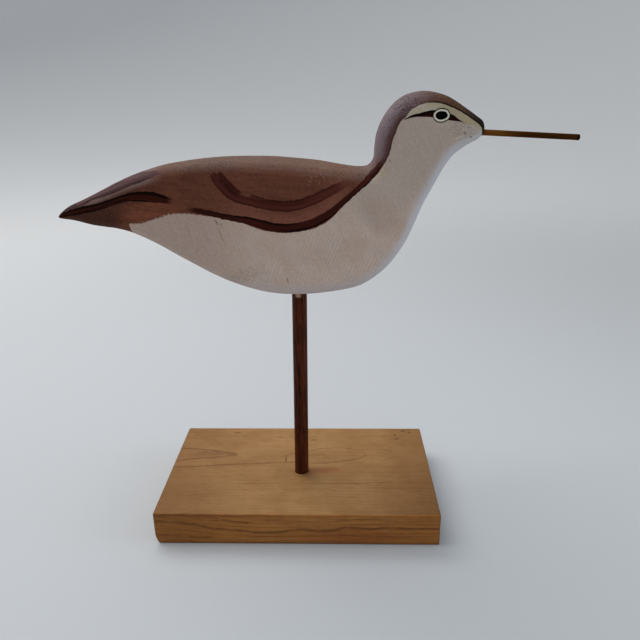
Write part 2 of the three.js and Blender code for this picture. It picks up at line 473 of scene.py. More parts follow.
def boardFinish():
    wood = Finish("boardWood")
    grain, times, plus, less = wood.grain, wood.times, wood.plus, wood.less
    rings, slope, ends = (wood.attribute(name) for name in ["ringCount", "ringSlope", "endGrain"])
    x, y, z = wood.axes(wood.place)
    isTop = wood.ramp(z, board["top"] - 1.2, board["top"] - 0.5)
    isFront = wood.ramp(y, board["frontY"] + 0.9, board["frontY"] + 0.2)
    # a growth ring darkens slowly and ends in a thin hard line, wider where the face cuts it at a slant
    share = wood.calc("FRACT", plus(rings, wood.sway(grain((0.12, 1.4, 1.4), 3, 0.6), 0.16)))
    hardWidth = wood.calc("MINIMUM", times(slope, 0.5), 0.4)
    strength = wood.put("TexWhiteNoise", {"W": wood.calc("FLOOR", rings)}, noise_dimensions="1D")
    hardLine = times(
        (wood.calc("DIVIDE", less(1, share), hardWidth), 1, 0.15), (share, 1, 0.985),
        wood.calc("POWER", strength, 3), (grain((0.022, 0.06, 0.06)), 0.35, 0.62, 0.2, 1),
        plus(times(isFront, 0.4), 0.42),
    )
    drawn = wood.larger(
        times(drawnGrain(wood, x, y, board["topGrain"]), isTop, 0.85),
        times(drawnGrain(wood, x, z, board["frontGrain"]), isFront, 0.68),
    )
    fibre = grain((0.04, 1.5, 1.5), 4, 0.66)
    fleck = grain((0.22, 1.9, 1.9), 3, 0.6)
    grainStrength = plus(times(isFront, 0.14), 0.06)
    colour = wood.coats(
        board, "wood",
        ((grain((0.045, 0.06, 0.06), 4, 0.6), 0.36, 0.64), "palerWood"),
        ((grain((0.11, 0.16, 0.16), 3, 0.6), 0.5, 0.72, 0, 0.14), "deepWood"),
        # darker towards the two ends and at the front corners: painted shade, as the light falls off away
        # from the middle
        ((x, -10, -80, 0, 0.42), "deepWood"),
        ([isFront, (x, -10, -50), 0.38], "ring"),
        ((x, 28, 82, 0, 0.5), "deepWood"),
        ([(wood.calc("ABSOLUTE", x), 16, 76), (y, 6, -44), isTop, 0.42], "deepWood"),
        # the front edge is deeper in colour, redder low on the right and dark along its lower corner
        ([isFront, 0.72], "front"),
        # painted shade: the front darker towards its left end
        ([isFront, (x, -36, -62), 0.22], "ring"),
        ([isFront, wood.spot(x, z, (32, 5.5), (26, 5), 0, 0.7), 0.45], "redder"),
        ([isFront, (z, 2.4, 0.4), 0.5], "ring"),
        # painted shade: the upper part of the front darker towards its left end
        ([isFront, (x, -30, -76), (z, 12, 18), 0.35], "deepWood"),
        # rings and fibres
        ([(share, 0.35, 0.95), grainStrength], "ring"),
        ([(fibre, 0.48, 0.66), plus(grainStrength, 0.14)], "ring"),
        ((fleck, 0.56, 0.68, 0, 0.3), "ring"),
        ((fleck, 0.44, 0.32, 0, 0.35), "palerWood"),
        (hardLine, "ring"),
        (drawn, "ring"),
        # end grain drinks the oil and is darker
        ([ends, 0.6], "deepWood"),
        # darker and redder on the top, just right of the leg's foot
        ([wood.spot(x, y, (12.5, -2.6), (7.94, 2.25), 0, 0.852), isTop, 0.3], "stain"),
        ([wood.spot(x, y, (14, -4.5), (10, 2.6), -6, 0.9), isTop, 0.42], "redder"),
        *(([wood.spot(x, y, knot[:2], knot[2:]), isTop, 0.8], "stain") for knot in board["knots"]),
    )
    height = less(times(fibre, 0.5), times(drawn, 0.6))
    roughness = wood.ramp(fibre, 0.2, 0.8, 0.62, 0.5)
    return wood.finish(colour, roughness, height, board["grainDepth"], board["gloss"])


def makeBoard():
    low, high = (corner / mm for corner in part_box("base_board"))
    size = high - low
    middle = (high + low) / 2
    board["top"] = high.z
    board["frontY"] = low.y
    bm = bmesh.new()
    bmesh.ops.create_cube(bm, size=1, matrix=Matrix.Translation(middle) @ Matrix.Diagonal((*size, 1)))
    easeEdges(bm, bm.edges[:], board["easing"])
    for axis in range(3):
        cuts = round(size[axis] / board["spacing"]) - 1
        bmesh.ops.subdivide_edges(bm, edges=longEdges(bm, axis, size[axis]), cuts=cuts, use_grid_fill=True)
    bmesh.ops.transform(bm, matrix=Matrix.Scale(mm, 4), verts=bm.verts)
    piece = newPiece("base_board_oiled", bm, boardFinish())
    mesh = piece.data
    places = vertexPlaces(mesh)
    normals = vertexNormals(mesh)
    # the worn lower edge at the tail end
    share = held(1 - (places[:, 2] - low.z) / board["wornHeight"])
    wander = 0.15 * roughness3d(places, (4, 9, 4), 2.2)
    edge = low.x + (board["wornLength"] + wander) * share**2
    places[:, 0] = np.maximum(places[:, 0], edge)
    # the two back corners are worn round
    turn = board["cornerRound"]
    for side in (1, -1):
        centre = np.array([(high.x if side > 0 else low.x) - side * turn, high.y - turn])
        offset = places[:, :2] - centre
        reach = np.hypot(*offset.T)
        outside = (offset[:, 0] * side > 0) & (offset[:, 1] > 0) & (reach > turn)
        places[outside, :2] = centre + offset[outside] * (turn / reach[outside])[:, None]
    # the rings stand up a little, and the faces are not quite flat
    rings = ringCount(places)
    hard = held((rings % 1 - 0.6) / 0.35) * (rings % 1 < 0.985)
    sunk = board["ringRelief"] * (1 - hard)
    sunk += board["unevenness"] * (roughness3d(places, (30, 14, 14), 4.1) + 1)
    sunk += board["dentDepth"] * held(roughness3d(places, (3.5, 3.5, 2.5), 9.4) - 0.45)
    places -= normals * sunk[:, None]
    places = np.clip(places, np.array(low), np.array(high))
    movePlaces(mesh, places)
    cutWith(piece, [drillBit("legHoleInBoard", legStart, legEnd, legRadius + gluedGap)])
    places = vertexPlaces(piece.data)
    keepValue(piece.data, "ringCount", ringCount(places))
    across = ringCount(places + (0, 0.5, 0)) - ringCount(places - (0, 0.5, 0))
    down = ringCount(places + (0, 0, 0.5)) - ringCount(places - (0, 0, 0.5))
    facing = np.abs(vertexNormals(piece.data))
    keepValue(piece.data, "ringSlope", np.abs(np.where(facing[:, 2] > 0.7, across, down)) + 0.02)
    inward = np.minimum(high.x - places[:, 0], places[:, 0] - low.x)
    keepValue(piece.data, "endGrain", held(1 - inward / 0.9))
    shadeSoftly(piece)
    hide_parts("base_board")
    return piece


boardPiece = makeBoard()
print("board ready", len(boardPiece.data.polygons))


# The leg: a dowel with a dark stain, chipped where it enters the bird

leg = {
    "sides": 56,
    "rings": 150,
    "easing": 0.4,
    "grooveDepth": 0.03,
    "grainDepth": 0.09,
    "gloss": 0.07,
    "chipDepth": 0.12,
    "chipBelow": 2.6,  # its middle, below the belly
    "chipTurn": 97,  # and the way it faces
    "stain": (92, 42, 19),
    "dark": (32, 12, 7),
    "pale": (118, 58, 26),
    "bare": (186, 150, 132),
}


def legFinish():
    wood = Finish("legStain")
    streak = wood.grain((1.1, 1.1, 0.05), 4, 0.6)
    fine = wood.grain((3.2, 3.2, 0.16), 3, 0.6)
    colour = wood.coats(
        leg, "dark",
        ((streak, 0.32, 0.68), "stain"),
        ((fine, 0.5, 0.66, 0, 0.5), "pale"),
        ((fine, 0.46, 0.34, 0, 0.6), "dark"),
        ((wood.grain((0.3, 0.3, 0.06), 3), 0.45, 0.65, 0, 0.35), "dark"),
        # a little paler towards the foot
        ((wood.axes(wood.place)[2], 60, 24, 0, 0.15), "pale"),
        # bare wood in the chip and the scraped ring under the belly
        (wood.attribute("chipped"), "bare"),
    )
    height = wood.plus(wood.times(streak, 0.6), wood.times(fine, 0.4))
    roughness = wood.ramp(streak, 0.3, 0.7, 0.52, 0.42)
    return wood.finish(colour, roughness, height, leg["grainDepth"], leg["gloss"])


def makeLeg():
    bm = dowelShape(legStart, legEnd, legRadius, leg["sides"], leg["rings"], leg["easing"])
    piece = newPiece("leg_stained", bm, legFinish())
    mesh = piece.data
    places = vertexPlaces(mesh)
    normals = vertexNormals(mesh)
    spin = np.arctan2(normals[:, 1], normals[:, 0])
    below = bellyHeight - places[:, 2]
    front = np.abs(np.angle(np.exp(1j * (spin + math.pi / 2))))
    chipAway = np.abs(np.angle(np.exp(1j * (spin + math.radians(leg["chipTurn"])))))
    chip = held(1.6 - chipAway / 0.3) * held(2.2 - np.abs(below - leg["chipBelow"]) / 0.45)
    scrape = held(roughness3d(places, (1.2, 1.2, 0.8), 3.7) * 2.2 - 0.3)
    scrape *= held(1 - np.abs(below - 1.2) / 2.2)
    bare = held(chip + 0.35 * scrape * (front < 2))
    grooves = held(roughness3d(places, (0.9, 0.9, 40), 5.5))
    sunk = leg["grooveDepth"] * grooves + leg["chipDepth"] * chip
    movePlaces(mesh, places - normals * sunk[:, None])
    keepValue(mesh, "chipped", bare)
    shadeSoftly(piece)
    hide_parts("leg")
    return piece


# The bill: a thin stained dowel, darkest at its tip

bill = {
    "sides": 40,
    "rings": 70,
    "easing": 0.45,
    "grooveDepth": 0.03,
    "grainDepth": 0.05,
    "gloss": 0.02,
    "droop": -3.4,
    "stain": (118, 72, 24),
    "dark": (50, 23, 3),
    "pale": (138, 92, 42),
    "tip": (24, 12, 5),
}


def billFinish():
    wood = Finish("billStain")
    x = wood.axes(wood.place)[0]
    streak = wood.grain((0.07, 2.4, 2.4), 3, 0.55, bill["droop"])
    fine = wood.grain((0.2, 6, 6), 2, 0.6, bill["droop"])
    colour = wood.coats(
        bill, "stain",
        ((streak, 0.35, 0.65, 0, 0.6), "dark"),
        ((fine, 0.5, 0.68, 0, 0.5), "pale"),
        ((x, 94, 112, 0, 0.82), "dark"),
        ((x, billEnd.x - 2.2, billEnd.x - 0.6), "tip"),
    )
    height = wood.plus(wood.times(streak, 0.6), wood.times(fine, 0.4))
    return wood.finish(colour, 0.5, height, bill["grainDepth"], bill["gloss"])


def makeBill():
    bm = dowelShape(billStart, billEnd, billRadius, bill["sides"], bill["rings"], bill["easing"])
    piece = newPiece("bill_stained", bm, billFinish())
    mesh = piece.data
    places = vertexPlaces(mesh)
    sunk = bill["grooveDepth"] * held(roughness3d(places, (14, 0.7, 0.7), 8.8))
    movePlaces(mesh, places - vertexNormals(mesh) * sunk[:, None])
    shadeSoftly(piece)
    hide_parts("bill")
    return piece


# The bird: carved from a plank and painted by hand. Places are millimetres, along the board and up.

bird = {
    "flank": (0, -23, 162.5),
    "bellyPatch": 5,  # how far round the leg the skin is closed, before the hole is drilled again
    "billRoom": 1.9,  # what is taken away round the bill's line
    # the face ahead of a slanting line is made again, by rings that draw in towards the nose
    "tipFrom": (90.24, -3.9, 206.74),
    "tipWay": (0.982, 0, 0.19),
    "nose": (91.85, -3.9, 209.7),
    "tipSteps": [(0.5, 0.83), (0.35, 0.72), (0.3, 0.45)],
    "wave": 0.16,  # how far the knife and the sandpaper left the surface from fair
    "ripple": 0.05,
    "sawDepth": 0.03,
    "calmTips": 8,  # nothing is raised towards the thin tips of the tail and the face
    "paintThick": 0.07,
    "grainDepth": 0.1,
    "gloss": 0.02,
    "sawLean": (0.914, -0.407),  # across the saw marks
    "sawStep": 1.6,
    # the edge between the brown back and the grey breast, from under the tail to the face
    "brownEdge": [
        (-79.6, 158.4), (-80.1, 164.5), (-80.2, 167.1), (-79.6, 167.6), (-74.4, 168.1), (-68.9, 169.9),
        (-63.5, 171.6), (-58.2, 173.1), (-53.2, 173.7), (-43.4, 173), (-33.7, 171.7), (-24.1, 169.7),
        (-14.7, 166.3), (-10, 165.3), (-5.2, 164.8), (-0.4, 164.9), (9.1, 166.2), (13.9, 168), (18.6, 170.7),
        (23.4, 175.8), (28.1, 180.4), (32.8, 184.5), (37.5, 188.3), (42.2, 193.5), (45.7, 198.7),
        (47.4, 205.4), (48.7, 209), (50.9, 214.2), (53.2, 216.2), (55.3, 218.9), (57.5, 220.4), (60, 221.5),
        (64.2, 222.2), (68.8, 221.9), (73.4, 220.4), (78.2, 218.3), (83.2, 215.4), (88.2, 212), (89.7, 210.2),
        (90.3, 208),
    ],
    # the face: lower edge of the cap, the line through the eye and the lower edge of the brow
    "capEdge": [
        (51, 212.6), (53.2, 216), (55.3, 218.8), (57.5, 220.3), (60, 221.4), (64.2, 222.2), (68.8, 221.9),
        (73.4, 220.4), (78.2, 218.2), (83.2, 215.4), (88.6, 211.8), (92, 206.6),
    ],
    "eyeUpper": [
        (51, 214.6), (53.1, 215.7), (56.2, 217.1), (59, 217.8), (62.4, 218.6), (65.8, 219.2), (69.5, 218.8),
        (73.4, 217.5), (75.1, 216.8), (76.9, 215.5), (78.8, 214.3), (81, 213.2), (92, 209.6),
    ],
    "eyeLower": [
        (51, 214.2), (53.2, 215.3), (56.2, 216), (59, 216.4), (62.4, 216.2), (65.5, 216.1), (69.5, 215.4),
        (73, 214.7), (74.8, 214.4), (76.9, 214.1), (78.8, 213.8), (81, 213.3), (92, 210.2),
    ],
    "browLower": [
        (51, 214.6), (53.2, 215.5), (60, 216.8), (66, 217.4), (73, 215.6), (78.8, 213.8), (81.5, 213),
        (85, 212), (89, 210.3), (92, 208.6),
    ],
    "eye": (69.5, 216.8),
    "eyeRings": [((4.15, 3.2), "nearBlack"), ((3.65, 2.65), "ringCream"), ((2.85, 1.9), "pupil")],
    "grey": (206, 185, 172),
    "greyWarm": (203, 178, 161),
    "greyCool": (192, 178, 174),
    "greyShade": (150, 130, 118),
    "greyPale": (232, 220, 210),
    "greyRear": (186, 164, 152),
    "greyNeck": (188, 171, 159),
    "greyOlive": (170, 160, 140),
    # painted cool reflection underneath, and painted cool light on the breast and throat
    "greyUnderReflection": (194, 186, 187),
    "greyFrontCoolLight": (196, 194, 202),
    "greyPatch": (164, 138, 124),
    "creamSmear": (188, 166, 126),
    "brown": (104, 63, 49),
    "brownRed": (116, 71, 55),
    "brownDark": (66, 42, 34),
    "brownLow": (138, 88, 73),
    "brownRim": (80, 46, 38),
    "rustFringe": (158, 92, 67),
    "capFront": (94, 70, 50),
    "muzzle": (38, 24, 18),
    # dust, with a painted highlight, on the parts that face up
    "dustAndSheen": (122, 118, 112),
    "warmDustAndSheen": (120, 104, 90),
    "tailDustAndSheen": (130, 108, 104),
    "tailPlum": (66, 52, 55),
    # lilac of the nape, partly paint and partly a painted sheen
    "lilacAndSheen": (126, 115, 121),
    "nearBlack": (14, 6, 5),
    "plumDark": (38, 11, 10),
    "cream": (194, 184, 168),
    "creamDull": (188, 173, 148),
    "creamFront": (166, 149, 116),
    "ringCream": (226, 218, 202),
    "pupil": (4, 4, 6),
    "ochre": (150, 108, 64),
    "paleSpeck": (176, 160, 146),
    "scratch": (112, 88, 72),
    # small marks: place, half lengths, turn, colour and strength
    "marks": [
        ((-35.6, 169.6), (1.3, 0.5), 60, "scratch", 0.6),
        ((-33.9, 163.4), (4.4, 0.24), 72, "scratch", 0.5),
        ((-33.5, 168.4), (1.4, 0.3), 70, "scratch", 0.4),
        ((-50, 166), (3.5, 0.2), 80, "scratch", 0.3),
        ((-2.3, 141), (1.5, 0.45), 80, "ochre", 0.6),
        ((43, 172), (11, 7), 40, "greyPatch", 0.35),
        ((80.8, 208.8), (0.7, 0.35), 40, "scratch", 0.7),
        ((83.9, 207.2), (0.6, 0.45), 0, "scratch", 0.7),
        ((78.2, 207.1), (1.6, 0.25), -20, "greyPale", 0.5),
        ((46.5, 197.1), (0.5, 0.8), 0, "scratch", 0.4),
        ((40.2, 192.2), (3.2, 1), -48, "plumDark", 0.6),
        ((38.2, 190.6), (1.2, 0.7), -30, "plumDark", 0.5),
    ],
}


def relaxedQuads(bm):
    # the solid's rings again: each pair of triangles is joined across its diagonal, spreading from the flank
    # above the leg, where the rings stand upright and the diagonal is the longest edge
    flank = Vector(bird["flank"]) * mm
    first = min(bm.faces, key=lambda face: (face.calc_center_median() - flank).length)
    diagonal = {first: max(first.edges, key=lambda edge: edge.calc_length())}
    waiting = [first]
    while waiting:
        face = waiting.pop(0)
        own = diagonal[face]
        for edge in face.edges:
            for other in edge.link_faces:
                if other in diagonal:
                    continue
                apart = [far for far in other.edges if not set(far.verts) & set(own.verts)]
                if edge == own or apart:
                    diagonal[other] = own if edge == own else apart[0]
                    waiting.append(other)
    agreed = [edge for edge in bm.edges if all(diagonal.get(face) == edge for face in edge.link_faces)]
    bmesh.ops.dissolve_edges(bm, edges=agreed, use_verts=False)


def openSkin(bm, start, end, reach):
    # takes away whatever lies within reach of a dowel's line, a drilled hole among it
    way = (end - start).normalized()
    inside = []
    for vert in bm.verts:
        offset = vert.co / mm - start
        along = offset.dot(way)
        if (offset - way * along).length < reach and -1 < along < (end - start).length + 1:
            inside.append(vert)
    bmesh.ops.delete(bm, geom=inside, context="VERTS")


def rimOf(bm):
    return [edge for edge in bm.edges if edge.is_boundary]


def freshTip(bm):
    # the tip of the face again, without the bill's hole: rings drawn in towards the nose, then a point
    edge, ahead = Vector(bird["tipFrom"]), Vector(bird["tipWay"])
    front = [vert for vert in bm.verts if (vert.co / mm - edge).dot(ahead) > 0.1]
    bmesh.ops.delete(bm, geom=front, context="VERTS")
    openSkin(bm, billStart, billEnd, bird["billRoom"])
    nose = Vector(bird["nose"]) * mm
    rim = rimOf(bm)
    for forward, around in bird["tipSteps"]:
        made = bmesh.ops.extrude_edge_only(bm, edges=rim)["geom"]
        ring = [item for item in made if isinstance(item, bmesh.types.BMVert)]
        bmesh.ops.scale(bm, vec=(forward, around, around), space=Matrix.Translation(-nose), verts=ring)
        rim = rimOf(bm)
    tip = bmesh.ops.poke(bm, faces=bmesh.ops.contextual_create(bm, geom=rim)["faces"])["verts"]
    tip[0].co = nose


def birdSkin():
    bm = bmesh.new()
    bm.from_mesh(nodes["bird_body"].data)
    bmesh.ops.remove_doubles(bm, verts=bm.verts, dist=0.001 * mm)
    relaxedQuads(bm)
    # the skin round the leg's hole is taken out and closed flat, and drilled again when the mesh is finer
    openSkin(bm, legStart, legEnd, bird["bellyPatch"])
    bmesh.ops.contextual_create(bm, geom=rimOf(bm))
    freshTip(bm)
    bmesh.ops.recalc_face_normals(bm, faces=bm.faces)
    return bm


# The brush strokes. Line: place and half width. Edges: strength, and where along the stroke the dark begins,
# is full, fades and is gone.
bird["strokes"] = {
    "wingStroke": {
        "seed": 3.1, "body": (91, 45, 38), "dark": (79, 37, 31), "cover": 0.95,
        "upperEdge": (0.4, -2, 2, 60, 75), "lowerEdge": (0.45, -2, 2, 50, 70),
        "ragged": 2, "startFade": 0.5, "endFade": 14, "loaded": 26,
        "line": [
            (-36.2, 192.6, 1.3), (-33.8, 188.2, 1.7), (-30.5, 184.7, 1.9), (-27.2, 182, 2), (-22.4, 180.2, 2),
            (-16.6, 178.9, 2), (-11.7, 178.1, 2.3), (-7.9, 177.6, 2.5), (-1.6, 177.3, 2.6), (4.3, 178.1, 2.5),
            (8.6, 179.5, 2.4), (13.1, 181.3, 2.4), (18.2, 183.8, 2.2), (23.2, 186.2, 1.9), (28.5, 188.5, 1.6),
            (33, 190, 1.3),
        ],
    },
    "wingHead": {
        "seed": 4.7, "body": (86, 40, 33), "dark": (62, 27, 21), "cover": 0.95,
        "upperEdge": (0.2, 0, 2, 12, 16), "lowerEdge": (0.5, 2, 4, 10, 14),
        "ragged": 1.6, "startFade": 0.5, "endFade": 3, "loaded": 20,
        "line": [
            (-33.3, 193, 1.1), (-31.2, 190.1, 1.5), (-28.4, 187, 1.6), (-25.6, 184, 1.7), (-22.4, 181.8, 1.4),
        ],
    },
    "wingCoat": {
        "seed": 6.3, "body": (78, 34, 28), "dark": (64, 27, 21), "cover": 0.75,
        "upperEdge": (0.4, 0, 2, 26, 34), "lowerEdge": (0, 0, 2, 26, 34),
        "ragged": 1.2, "startFade": 0.5, "endFade": 12, "loaded": 1,
        "line": [
            (-18.8, 181.8, 1.4), (-15.4, 180.5, 1.6), (-10.5, 179.2, 1.5), (-4, 178.6, 1.4), (3, 178.9, 1.3),
            (9, 180.7, 1.3), (15, 183.5, 1.1),
        ],
    },
    "lowStroke": {
        "seed": 5.7, "body": (70, 30, 23), "dark": (50, 22, 17), "cover": 1,
        "upperEdge": (0.9, 8, 24, 46, 62), "lowerEdge": (0.9, 42, 58, 125, 135),
        "ragged": 5, "startFade": 6, "endFade": 9, "loaded": 36,
        "line": [
            (-51, 176, 0.4), (-46, 175.3, 1.1), (-40.4, 174.3, 1.3), (-35.6, 173.2, 1.3), (-30.4, 172.1, 1.4),
            (-24.6, 171.2, 1.6), (-19.9, 170.4, 1.9), (-14, 168.8, 2.2), (-8.5, 167.4, 2.2),
            (-3.1, 166.9, 2.2), (2.9, 167.3, 2.2), (8.2, 168.4, 2.2), (13, 170.4, 2.2), (18, 173.3, 2),
            (22.3, 176.8, 1.6), (26.8, 180.8, 1.4), (31, 184.3, 1.3), (35.2, 187.8, 1.4), (38.6, 191.1, 1.5),
            (41.3, 194.1, 1.3), (43.5, 197.4, 1), (45.3, 201, 0.8),
        ],
    },
    "tailStroke": {
        "seed": 8.3, "body": (63, 26, 17), "dark": (36, 15, 10), "cover": 1,
        "upperEdge": (1, -2, 3, 66, 70), "lowerEdge": (0.95, -2, 3, 44, 56),
        "ragged": 3, "startFade": 1, "endFade": 4.5, "loaded": 1,
        "line": [
            (-118.8, 169.9, 0.7), (-114, 171.4, 1.1), (-107.7, 172.9, 1.6), (-102.7, 174.1, 1.7),
            (-97, 175.3, 1.7), (-91.5, 176.9, 1.6), (-86.5, 178.6, 1.6), (-81.8, 180.1, 1.7),
            (-77.5, 180.9, 2), (-73, 181.2, 2.4), (-68, 181.2, 2.5), (-63.5, 180.8, 2.3), (-59, 179.8, 1.7),
            (-55, 178.8, 1.1),
        ],
    },
    "rumpStroke": {
        "seed": 11.9, "body": (100, 72, 74), "dark": (75, 50, 52), "cover": 0.95,
        "upperEdge": (0, 0, 6, 40, 46), "lowerEdge": (0.5, 0, 8, 40, 48),
        "ragged": 1.5, "startFade": 1, "endFade": 2, "loaded": 1,
        "line": [
            (-108.6, 176.1, 0.6), (-103.8, 177.9, 1.3), (-97.8, 181.2, 2.2), (-94.6, 182.3, 2.5),
            (-88, 185.1, 3), (-80.3, 188, 2.8), (-72.6, 190, 2.2), (-67.1, 191.4, 1.5), (-61.6, 192.6, 0.7),
        ],
    },
}


def strokeLength(name):
    gaps = np.diff(clampedLine(bird["strokes"][name]["line"])[:, :2], axis=0)
    return float(np.hypot(*gaps.T).sum())


def strokeParts(xz, name):
    # along the stroke, across it from -1 to 1, and its half width
    line = clampedLine(bird["strokes"][name]["line"])
    along, left, starts = besideLine(xz, line)
    half = np.interp(along, starts, line[:, 2])
    return along, left / half, half


def makeBird():
    birdBox = [np.array(corner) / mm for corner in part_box("bird_body")]
    piece = newPiece("bird_body_painted", birdSkin(), birdFinish())
    finer = piece.modifiers.new("finer", "SUBSURF")
    finer.levels = finer.render_levels = 2
    applyModifiers(piece)
    mesh = piece.data
    places = vertexPlaces(mesh)
    normals = vertexNormals(mesh)
    print("bird skin", len(mesh.polygons), "faces")
    # faint waves from the knife, slanting scratches on the belly, and the thickness of the strokes
    raised = bird["wave"] * roughness3d(places, (26, 14, 18), 1.7)
    raised += bird["ripple"] * roughness3d(places, (6, 6, 6), 6.1)
    slant = places @ np.array([bird["sawLean"][0], 0, bird["sawLean"][1]])
    belly = held((165.5 - places[:, 2]) / 12) * held((places[:, 0] + 30) / 20)
    slanting = np.column_stack([slant, places[:, 1:]])
    raised += bird["sawDepth"] * belly * roughness3d(slanting, (0.9, 9, 40), 3.3, 1)
    xz = places[:, [0, 2]]
    for name in bird["strokes"]:
        along, across, half = strokeParts(xz, name)
        inside = held((1 - np.abs(across)) * half / 0.8)
        ends = held(along / 2) * held((strokeLength(name) - along) / 2)
        raised += bird["paintThick"] * inside * ends
    fromTips = np.minimum(places[:, 0] - places[:, 0].min(), places[:, 0].max() - places[:, 0])
    raised *= held(fromTips / bird["calmTips"])
    movePlaces(mesh, np.clip(places + normals * raised[:, None], *birdBox))
    cutWith(piece, [
        drillBit("legHoleInBird", legStart, legEnd + (legEnd - legStart).normalized() * holeSpare,
                 legRadius + gluedGap),
        drillBit("billHoleInBird", billStart - (billEnd - billStart).normalized() * holeSpare, billEnd,
                 billRadius + gluedGap),
    ])
    mesh = piece.data
    places = vertexPlaces(mesh)
    xz = places[:, [0, 2]]
    along, left, _ = besideLine(xz, clampedLine(bird["brownEdge"]))
    normals = vertexNormals(mesh)
    keepValue(mesh, "brownSide", left)
    keepValue(mesh, "edgeAlong", along)
    keepValue(mesh, "facesUp", normals[:, 2])
    keepValue(mesh, "facesFront", normals[:, 0])
    for name in bird["strokes"]:
        keepValue(mesh, name, np.stack(strokeParts(xz, name), axis=1))
    shadeSoftly(piece)
    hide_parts("bird_body")
    return piece


def brushStroke(paint, name, colour, over):
    # one pull of a loaded brush: streaks along it, darker where paint gathered at its edges
    look = bird["strokes"][name]
    times, plus = paint.times, paint.plus
    along, across, half = paint.axes(paint.attribute(name, "Vector"))
    sideways = times(across, half)
    stretched = [times(along, 0.045), times(sideways, 1.5), look["seed"]]
    streak = paint.noise(paint.put("CombineXYZ", stretched), 3, 0.6)
    bristle = paint.noise(paint.put("CombineXYZ", [look["seed"], times(sideways, 1.3), 0]), 1)
    frayed = plus(along, paint.sway(bristle, look["ragged"]))
    wander = paint.sway(paint.grain(0.5), 0.9)
    cover = times(
        (plus(paint.less(half, paint.calc("ABSOLUTE", sideways)), wander), -0.16, 0.2),
        (frayed, 0, look["startFade"]),
        (paint.less(strokeLength(name), frayed), 0, look["endFade"]),
        look["cover"],
    )
    inside = paint.coats(
        look, "dark",
        ((streak, 0.36, 0.62), "body"),
        ((along, look["loaded"], look["loaded"] * 0.5, 0, 0.8), "dark"),
    )
    unsteady = plus(across, paint.sway(streak, 1.2))
    for edge, start, end in [("upperEdge", 0.2, 0.75), ("lowerEdge", -0.25, -0.8)]:
        strength, begins, full, fades, gone = look[edge]
        gathered = times((unsteady, start, end), (along, begins, full), (along, gone, fades), strength)
        inside = paint.coats(bird, inside, (gathered, "nearBlack"))
    return paint.mix(cover, colour, inside), paint.larger(over, cover)


